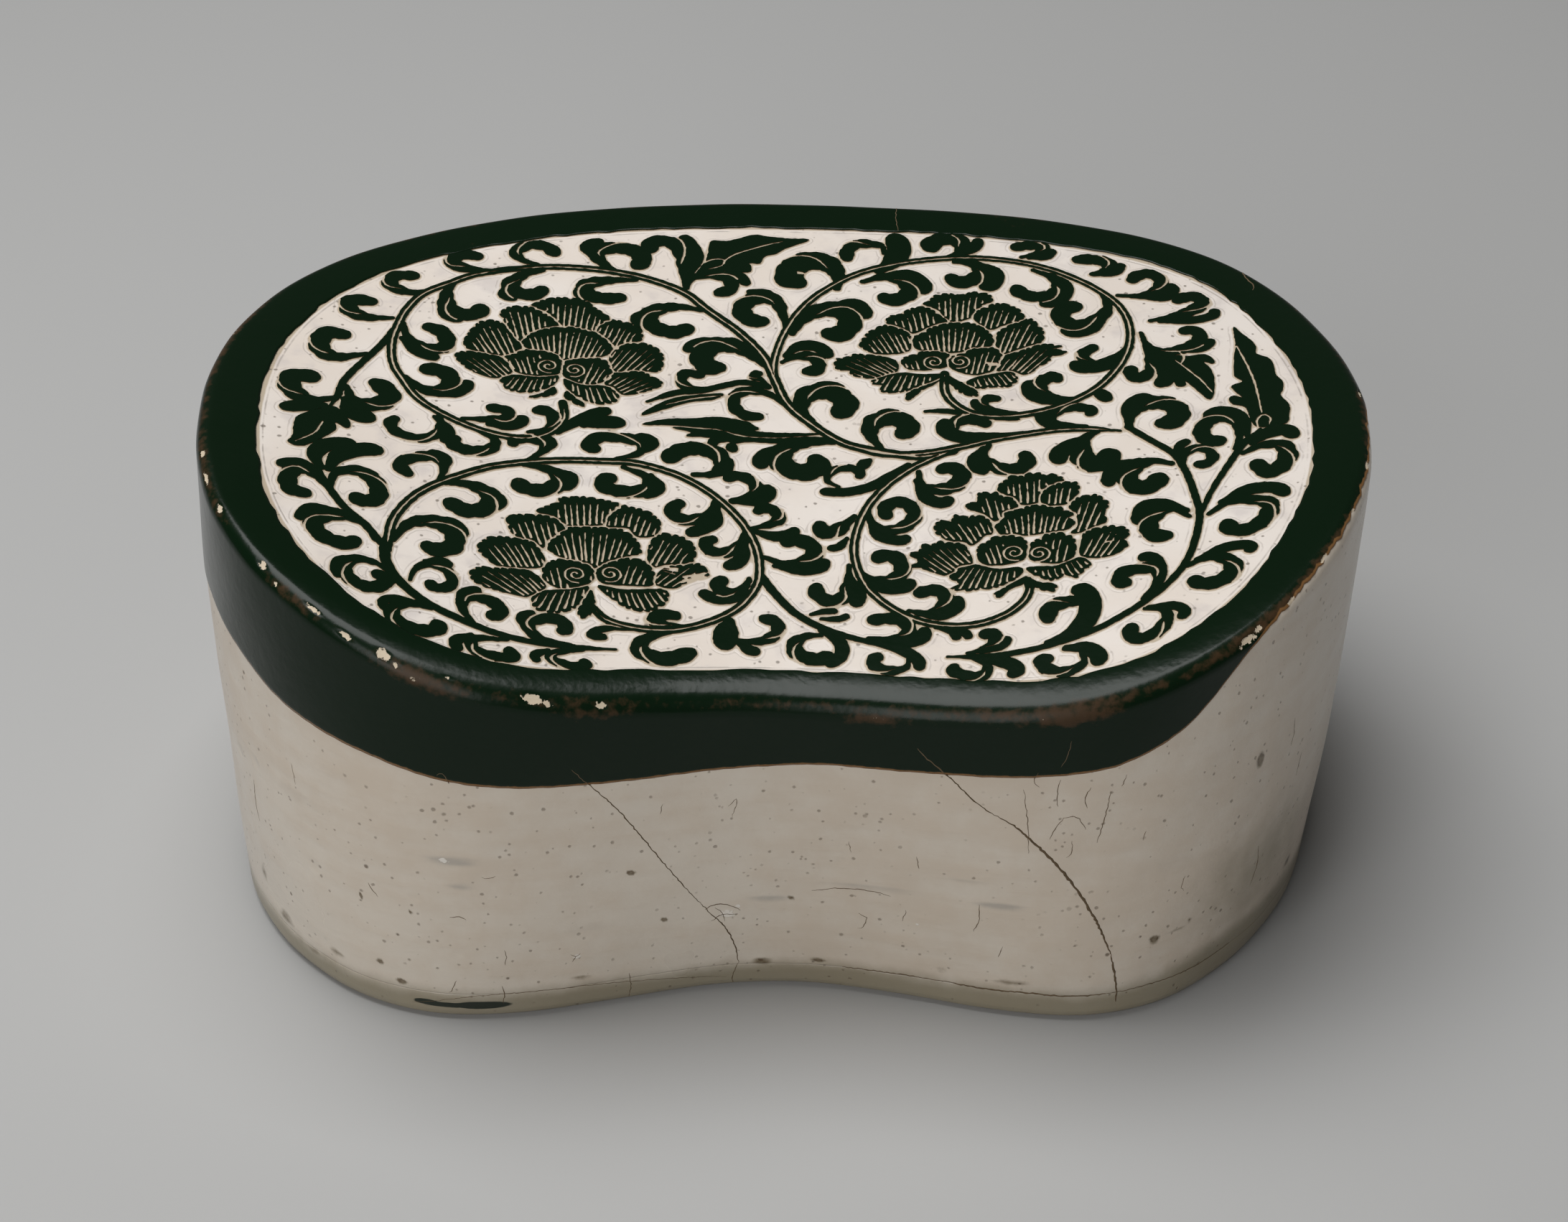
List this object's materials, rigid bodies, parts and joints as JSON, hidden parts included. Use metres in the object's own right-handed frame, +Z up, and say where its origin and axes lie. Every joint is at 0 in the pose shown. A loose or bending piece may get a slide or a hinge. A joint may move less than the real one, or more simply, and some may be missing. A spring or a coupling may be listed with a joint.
{
  "type": "ceramic pillow",
  "caption": "Hollow bean-shaped stoneware pillow with a dished headrest, a dark slip border, an upright slab wall and a flat base.",
  "frame": {"origin": "on the floor under the middle of the object's box", "axes": "+X to the right seen from the waisted front, +Y to the back, +Z up"},
  "size_m": [0.301, 0.2082, 0.1331],
  "materials": {
    "white_slip": "white slip under clear glaze",
    "dark_slip": "green-black slip under clear glaze",
    "stoneware": "unglazed buff stoneware"
  },
  "bodies": {
    "root": {"headrest_slab": "white_slip", "dark_slip_border": "dark_slip", "front_wall": "white_slip", "back_wall": "white_slip", "base_slab": "stoneware", "lower_luting_coil": "stoneware", "upper_luting_coil": "stoneware", "left_seam_strip": "stoneware", "right_seam_strip": "stoneware"}
  },
  "joints": []
}
